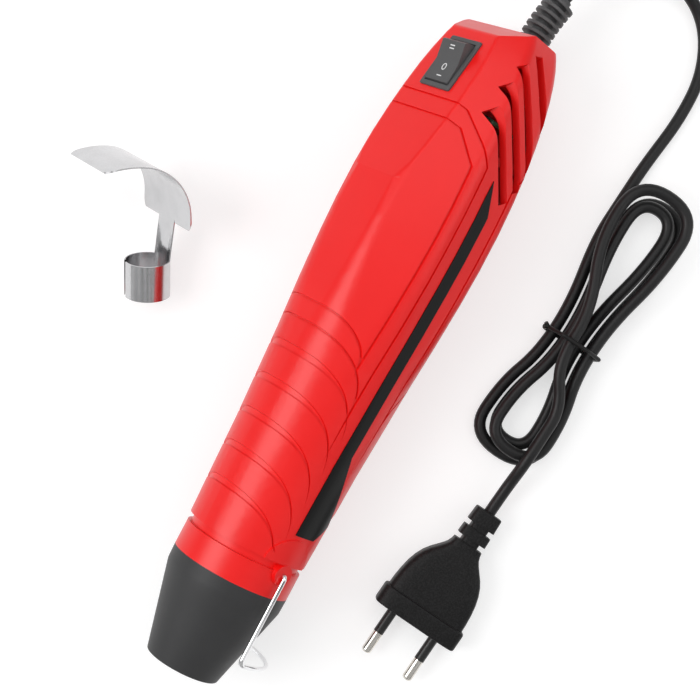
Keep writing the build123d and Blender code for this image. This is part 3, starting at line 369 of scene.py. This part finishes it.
metals = {
    "reflectorSteel": {
        "light": (0.62, 0.62, 0.63), "dark": (0.4, 0.4, 0.41), "rough": 0.14, "roughSwing": 0.1,
        "line": 0.5, "stretch": (1, 1, 0.06), "stain": 9, "stained": 0.25, "depth": 0.006,
    },
    "stainlessTube": {
        "light": (0.64, 0.62, 0.6), "dark": (0.4, 0.36, 0.33), "rough": 0.24, "roughSwing": 0.14,
        "line": 0.4, "stretch": (0.05, 1, 1), "stain": 7, "stained": 0.5, "depth": 0.008,
    },
    "chromeWire": {
        "light": (0.88, 0.88, 0.89), "dark": (0.7, 0.7, 0.71), "rough": 0.05, "roughSwing": 0.06,
        "line": 0.8, "stretch": (0.1, 1, 1), "stain": 5, "stained": 0.2, "depth": 0.003,
    },
    "pinNickel": {
        "light": (0.8, 0.77, 0.72), "dark": (0.58, 0.55, 0.5), "rough": 0.14, "roughSwing": 0.1,
        "line": 0.4, "stretch": (0.08, 1, 1), "stain": 4, "stained": 0.4, "depth": 0.005,
    },
    "zincScrew": {
        "light": (0.6, 0.6, 0.62), "dark": (0.38, 0.38, 0.4), "rough": 0.3, "roughSwing": 0.15,
        "line": 0.3, "stretch": (1, 1, 1), "stain": 2, "stained": 0.4, "depth": 0.01,
    },
    "elementWire": {
        "light": (0.42, 0.38, 0.35), "dark": (0.22, 0.19, 0.18), "rough": 0.4, "roughSwing": 0.15,
        "line": 0.3, "stretch": (1, 1, 1), "stain": 3, "stained": 0.6, "depth": 0.01,
    },
    "brassTab": {
        "light": (0.72, 0.52, 0.22), "dark": (0.45, 0.3, 0.12), "rough": 0.28, "roughSwing": 0.12,
        "line": 0.3, "stretch": (1, 1, 0.1), "stain": 3, "stained": 0.4, "depth": 0.006,
    },
}


# Mica board: pressed flakes with a pale, slightly shiny face
micaLook = {
    "dark": (0.34, 0.27, 0.17), "light": (0.55, 0.47, 0.33), "rough": 0.35, "roughSwing": 0.3,
    "cloud": 6, "flakes": 900, "depth": 0.05,
}


def micaBoard(look):
    paint = Paint("micaBoard")
    sockets = {"Vector": paint.place, "Scale": look["flakes"]}
    flakes = paint.node("ShaderNodeTexVoronoi", None, sockets, out="Distance")
    clouds = paint.noise(look["cloud"], 4)
    return paint.finish(
        Base_Color=paint.blend(clouds, tone(*look["dark"]), tone(*look["light"])),
        Roughness=look["rough"] + flakes * look["roughSwing"],
        Normal=paint.bump(flakes, look["depth"], 0.5),
    )


finishes = {name: mouldedPlastic(name, look) for name, look in plastics.items()}
finishes.update({name: drawnMetal(name, look) for name, look in metals.items()})
finishes["micaBoard"] = micaBoard(micaLook)
cord.data.materials.append(finishes["cordBlack"])
print("finishes mixed,", len(finishes))

slotFinishes = {
    "red_shell": "redShell", "label_black": "labelBlack", "grey_shroud": "shroudGrey",
    "grey_switch": "switchGrey", "steel_tube": "stainlessTube", "reflector_steel": "reflectorSteel",
    "chromed_wire": "chromeWire", "plated_screw": "zincScrew", "cord_sheath": "cordBlack",
    "tie_black": "tieBlack", "plug_black": "plugBlack", "pin_metal": "pinNickel", "mica": "micaBoard",
    "element_wire": "elementWire", "inner_plastic": "innerBlack", "board_green": "boardGreen",
    "component_black": "innerBlack", "brass_tab": "brassTab",
}
slotOf = {part["node"]: part["material_slot"] for part in frame["record"]["subparts"]}


def dressNodes():
    for name, node in nodes.items():
        finish = "sleeveBlack" if name.startswith("pin_sleeve") else slotFinishes[slotOf[name]]
        node.data.materials.clear()
        node.data.materials.append(finishes[finish])
    print("nodes dressed")


dressNodes()


# The second inlet slot of each side in millimetres, which upper_housing lacks: an arc
# of stations and heights in a side plane, cut inward on a slant
slotSizes = {
    "nose": (182.0, 0.0, 28.8), "start": (242.8, 12.9), "middle": (226.6, 2.7), "end": (207.2, -10.7),
    "width": 4.3, "plane": 29.0, "reach": 15.6, "slant": 40.0, "steps": 24,
}


# Points and normals along the arc through three places, as station and height
def arcThrough(start, middle, end, steps):
    (x1, y1), (x2, y2), (x3, y3) = start, middle, end
    turn = 2 * (x1 * (y2 - y3) + x2 * (y3 - y1) + x3 * (y1 - y2))
    squares = [x * x + y * y for x, y in (start, middle, end)]
    cx = (squares[0] * (y2 - y3) + squares[1] * (y3 - y1) + squares[2] * (y1 - y2)) / turn
    cy = (squares[0] * (x3 - x2) + squares[1] * (x1 - x3) + squares[2] * (x2 - x1)) / turn
    radius = math.hypot(x1 - cx, y1 - cy)
    first, last = math.atan2(y1 - cy, x1 - cx), math.atan2(y3 - cy, x3 - cx)
    for index in range(steps + 1):
        angle = first + (last - first) * index / steps
        normal = (math.cos(angle), math.sin(angle))
        yield (cx + radius * normal[0], cy + radius * normal[1]), normal


# Closes a row of rings, each a loop of corners, into one solid
def skinRings(shape, rings):
    for near, far in zip(rings, rings[1:]):
        for index in range(len(near)):
            after = (index + 1) % len(near)
            shape.faces.new((near[index], near[after], far[after], far[index]))
    shape.faces.new(rings[0])
    shape.faces.new(rings[-1])


def slotCutter(sizes):
    shape = bmesh.new()
    up, slant = Vector((0, -1, 1)).normalized(), math.radians(sizes["slant"])
    for way in (1, -1):
        side = Vector((0, 1, 1)).normalized() * way
        inward = (side * -math.cos(slant) + Vector((1, 0, 0)) * math.sin(slant)) * sizes["reach"]
        rings = []
        arc = arcThrough(sizes["start"], sizes["middle"], sizes["end"], sizes["steps"])
        for (station, height), normal in arc:
            ring = []
            for edge, depth in ((-1, 0), (1, 0), (1, 1), (-1, 1)):
                along = station + normal[0] * edge * sizes["width"] / 2
                rise = height + normal[1] * edge * sizes["width"] / 2
                place = Vector(sizes["nose"]) - Vector((along, 0, 0)) + up * rise + side * sizes["plane"]
                ring.append(shape.verts.new((place + inward * depth) * mm))
            rings.append(ring)
        skinRings(shape, rings)
    bmesh.ops.recalc_face_normals(shape, faces=shape.faces)
    mesh = bpy.data.meshes.new("slot_cutter")
    shape.to_mesh(mesh)
    shape.free()
    return mesh


# The cut is made on spare objects, and only its mesh is kept
def cutSlots(mesh, sizes):
    blank, tool = newObject("slot_blank", mesh), newObject("slot_tool", slotCutter(sizes))
    cut = blank.modifiers.new("slots", "BOOLEAN")
    cut.operation, cut.solver, cut.object = "DIFFERENCE", "EXACT", tool
    bpy.context.view_layer.update()
    evaluated = blank.evaluated_get(bpy.context.evaluated_depsgraph_get())
    result = bpy.data.meshes.new_from_object(evaluated)
    for spare in (blank, tool):
        bpy.data.objects.remove(spare)
    print("slots cut,", len(mesh.polygons), "faces to", len(result.polygons))
    return result


# A copy of a shell whose facets are joined and shaded as one moulded surface
weldDistance = 0.002 * mm
shadingWeight = 80


def smoothShell(nodeName, newName, body, sharp):
    mesh = nodes[nodeName].data.copy()
    if nodeName.endswith("housing"):
        mesh = cutSlots(mesh, slotSizes)
    shape = bmesh.new()
    shape.from_mesh(mesh)
    bmesh.ops.remove_doubles(shape, verts=shape.verts, dist=weldDistance)
    standIn(shape, mesh, nodeName, newName, body, sharp)


# The piece that a shape makes in place of a node, with edges sharp past an angle
def standIn(shape, mesh, nodeName, newName, body, sharp):
    limit = math.radians(sharp)
    for edge in shape.edges:
        edge.smooth = len(edge.link_faces) == 2 and edge.calc_face_angle(math.pi) < limit
    for face in shape.faces:
        face.smooth = True
    shape.to_mesh(mesh)
    shape.free()
    piece = newObject(newName, mesh)
    weigh = piece.modifiers.new("even_shading", "WEIGHTED_NORMAL")
    weigh.keep_sharp = True
    weigh.weight = shadingWeight
    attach(piece, body)
    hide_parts(nodeName)


# Node, its smooth piece, the body it rides on, and the angle past which edges stay sharp
shells = (
    ("upper_housing", "upper_shell", "tool", 24),
    ("lower_housing", "lower_shell", "tool", 24),
    ("nozzle_shroud", "shroud_shell", "tool", 24),
    ("outlet_tube", "outlet_pipe", "tool", 30),
    ("reflector_nozzle", "reflector_sheet", "tool", 30),
    ("wire_stand", "stand_wire", "stand", 50),
    ("strain_relief", "ribbed_relief", "tool", 30),
    ("hank_tie", "twist_tie", "tool", 60),
)
for shell in shells:
    smoothShell(*shell)
print("shells smoothed")

# Plug with a flange, a full rounded body and a notched neck, in millimetres. Its rows
# run back from the pins: depth, width and height of a rounded oblong
plugSizes = {"face": (133.1331, 70.4311, 6.85), "turn": 6.6, "steps": 64, "square": 0.42, "sharp": 32}
plugRows = (
    (0.0, 34.1, 12.5), (0.25, 34.9, 13.3), (0.8, 35.3, 13.7), (6.9, 35.3, 13.7), (7.5, 34.9, 13.3),
    (7.8, 34.1, 12.5), (7.8, 32.8, 11.9), (11, 32.6, 11.9), (15, 31.9, 11.8), (19, 30.6, 11.6),
    (22.5, 28.6, 11.4), (25.5, 25.9, 11.2), (28, 22.6, 10.9), (30, 19.2, 10.6), (32, 15.9, 10.3),
    (33.6, 13.7, 10.1), (35.2, 12.5, 10), (36.6, 12, 10), (36.6, 7.2, 8.6), (38.8, 7.2, 8.6),
    (38.8, 11.9, 9.8), (42.8, 11.6, 9.6), (42.8, 7.2, 8.4), (45, 7.2, 8.4), (45, 11.5, 9.4),
    (50.4, 11, 9.2), (50.8, 10.8, 9), (51, 10.2, 8.4),
)


def makePlug(sizes, rows):
    turn = math.radians(sizes["turn"])
    way, across = -flatWay(sizes["turn"]), Vector((math.sin(turn), math.cos(turn), 0))
    shape, rings = bmesh.new(), []
    for depth, width, height in rows:
        ring = []
        for step in range(sizes["steps"]):
            angle = math.tau * step / sizes["steps"]
            level, rise = math.cos(angle), math.sin(angle)
            wide = width / 2 * math.copysign(abs(level) ** sizes["square"], level)
            high = height / 2 * math.copysign(abs(rise) ** sizes["square"], rise)
            place = Vector(sizes["face"]) - way * depth + across * wide + Vector((0, 0, high))
            ring.append(shape.verts.new(place * mm))
        rings.append(ring)
    skinRings(shape, rings)
    bmesh.ops.recalc_face_normals(shape, faces=shape.faces)
    mesh = bpy.data.meshes.new("plug_shell")
    mesh.materials.append(finishes["plugBlack"])
    standIn(shape, mesh, "plug_body", "plug_shell", "tool", sizes["sharp"])
    print("plug shaped")


makePlug(plugSizes, plugRows)


# Generic switch marks printed on the rocker, in millimetres: one bar, a ring and two bars
markSizes = {
    "hinge": (-53.8174, -13.7197, 42.5197), "normal": (-0.1826, -0.6952, 0.6952), "throw": 14.0,
    "midRise": 3.2, "endRise": 4.5, "reach": 8.7, "thick": 0.06,
    "barLength": 2.3, "barWidth": 0.42, "pitch": 1.1, "oneAt": -5.6, "ringAt": -2.0, "twoAt": 5.4,
    "ringLong": 1.35, "ringWide": 1.0, "ringLine": 0.36, "ringSteps": 40,
}


# Axes on the rocker's face at a place along it, which dips towards the hinge
def markFrame(sizes, along):
    normal = Vector(sizes["normal"]).normalized()
    side = Vector((0, 1, 1)).normalized()
    back = -side.cross(normal)
    turn = Matrix.Rotation(math.radians(sizes["throw"]), 3, side)
    back, normal = turn @ back, turn @ normal
    slope = math.atan2(sizes["endRise"] - sizes["midRise"], sizes["reach"]) * (1 if along > 0 else -1)
    rise = sizes["midRise"] + abs(along) * math.tan(abs(slope))
    lean = Matrix.Rotation(slope, 3, side)
    origin = Vector(sizes["hinge"]) + back * along + normal * rise
    axes = Matrix((lean @ back, side, lean @ normal)).transposed().to_4x4()
    return Matrix.Translation(origin * mm) @ axes


def addBar(shape, place, shift, sizes):
    size = Matrix.Diagonal((sizes["barWidth"] * mm, sizes["barLength"] * mm, sizes["thick"] * mm, 1))
    bmesh.ops.create_cube(shape, size=1, matrix=place @ Matrix.Translation((shift * mm, 0, 0)) @ size)


def addRing(shape, place, sizes):
    outer, inner = (
        bmesh.ops.create_circle(shape, cap_ends=False, segments=sizes["ringSteps"], radius=1)["verts"]
        for _ in range(2)
    )
    for verts, trim in ((outer, 0), (inner, sizes["ringLine"])):
        scale = Vector((sizes["ringLong"] - trim, sizes["ringWide"] - trim, 1)) * mm
        bmesh.ops.scale(shape, vec=scale, verts=verts)
    edges = [edge for edge in shape.edges if edge.verts[0] in outer + inner]
    flat = bmesh.ops.bridge_loops(shape, edges=edges)["faces"]
    bmesh.ops.recalc_face_normals(shape, faces=flat)
    raised = bmesh.ops.extrude_face_region(shape, geom=flat)["geom"]
    lifted = [item for item in raised if isinstance(item, bmesh.types.BMVert)]
    bmesh.ops.translate(shape, vec=(0, 0, sizes["thick"] / 2 * mm), verts=lifted)
    bmesh.ops.transform(shape, matrix=place, verts=outer + inner + lifted)


def makeMarks(sizes):
    shape = bmesh.new()
    addRing(shape, markFrame(sizes, sizes["ringAt"]), sizes)
    addBar(shape, markFrame(sizes, sizes["oneAt"]), 0, sizes)
    for shift in (-sizes["pitch"] / 2, sizes["pitch"] / 2):
        addBar(shape, markFrame(sizes, sizes["twoAt"]), shift, sizes)
    bmesh.ops.recalc_face_normals(shape, faces=shape.faces)
    mesh = bpy.data.meshes.new("switch_marks")
    shape.to_mesh(mesh)
    shape.free()
    mesh.materials.append(finishes["markWhite"])
    marks = newObject("switch_marks", mesh)
    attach(marks, "switch_rocker")
    print("switch marks printed")


makeMarks(markSizes)

# Pale floor and soft studio light; a lamp has its place, size and power
studio = {
    "floorSize": 6.0, "floorShade": 0.5, "floorMottle": 0.98, "floorGlow": 0.6, "aim": (0.03, 0.02, 0.02),
    "skyDark": 0.06, "skyBright": 0.84, "skyBands": 2.2, "skyWarp": 1.2,
    "lamps": (
        ("key_lamp", (0.35, -0.75, 0.9), 0.7, 6.6),
        ("fill_lamp", (-0.3, 0.85, 0.8), 0.8, 2.2),
        ("top_lamp", (-0.5, -0.2, 1.2), 1.0, 3.4),
    ),
}


# The floor glows to the camera and in reflections, but casts no diffuse light
def makeFloor(settings):
    mesh = bpy.data.meshes.new("studio_floor")
    shape = bmesh.new()
    bmesh.ops.create_grid(shape, x_segments=1, y_segments=1, size=settings["floorSize"] / 2)
    shape.to_mesh(mesh)
    shape.free()
    paint = Paint("paleFloor")
    mottle = paint.noise(300, 2)
    shade = settings["floorShade"]
    colour = paint.blend(mottle, tone(*[shade] * 3), tone(*[shade * settings["floorMottle"]] * 3))
    kinds = ("Camera", "Glossy", "Transmission")
    camera, glossy, clear = (paint.node("ShaderNodeLightPath", out=f"Is {kind} Ray") for kind in kinds)
    glow = (camera + glossy + clear) * settings["floorGlow"]
    glow = paint.node("ShaderNodeCombineColor", None, {index: glow for index in range(3)})
    mesh.materials.append(
        paint.finish(Base_Color=colour, Roughness=0.9, Emission_Color=glow, Emission_Strength=1.0)
    )
    newObject("studio_floor", mesh)


# The camera sees a white sky; surfaces reflect one with soft bands
def makeLight(settings):
    for name, place, size, power in settings["lamps"]:
        data = bpy.data.lights.new(name, "AREA")
        data.shape = "SQUARE"
        data.size = size
        data.energy = power
        lamp = newObject(name, data)
        lamp.location = place
        lamp.rotation_mode = "QUATERNION"
        lamp.rotation_quaternion = (Vector(settings["aim"]) - Vector(place)).to_track_quat("-Z", "Y")
    world = bpy.data.worlds.new("soft_sky")
    bpy.context.scene.world = world
    world.use_nodes = True
    tree = world.node_tree
    place = tree.nodes.new("ShaderNodeTexCoord")
    bands = tree.nodes.new("ShaderNodeTexWave")
    bands.inputs["Scale"].default_value = settings["skyBands"]
    bands.inputs["Distortion"].default_value = settings["skyWarp"]
    bands.inputs["Detail"].default_value = 0
    shade = tree.nodes.new("ShaderNodeMapRange")
    shade.inputs["To Min"].default_value = settings["skyDark"]
    shade.inputs["To Max"].default_value = settings["skyBright"]
    tree.links.new(place.outputs["Generated"], bands.inputs["Vector"])
    tree.links.new(bands.outputs["Fac"], shade.inputs["Value"])
    seen = tree.nodes.new("ShaderNodeLightPath")
    lighter = tree.nodes.new("ShaderNodeMath")
    lighter.operation = "MAXIMUM"
    tree.links.new(shade.outputs["Result"], lighter.inputs[0])
    tree.links.new(seen.outputs["Is Camera Ray"], lighter.inputs[1])
    tree.links.new(lighter.outputs["Value"], tree.nodes["Background"].inputs["Color"])
    bpy.context.scene.view_settings.view_transform = "Standard"
    print("floor and lamps set")


makeFloor(studio)
makeLight(studio)

bpy.context.view_layer.update()
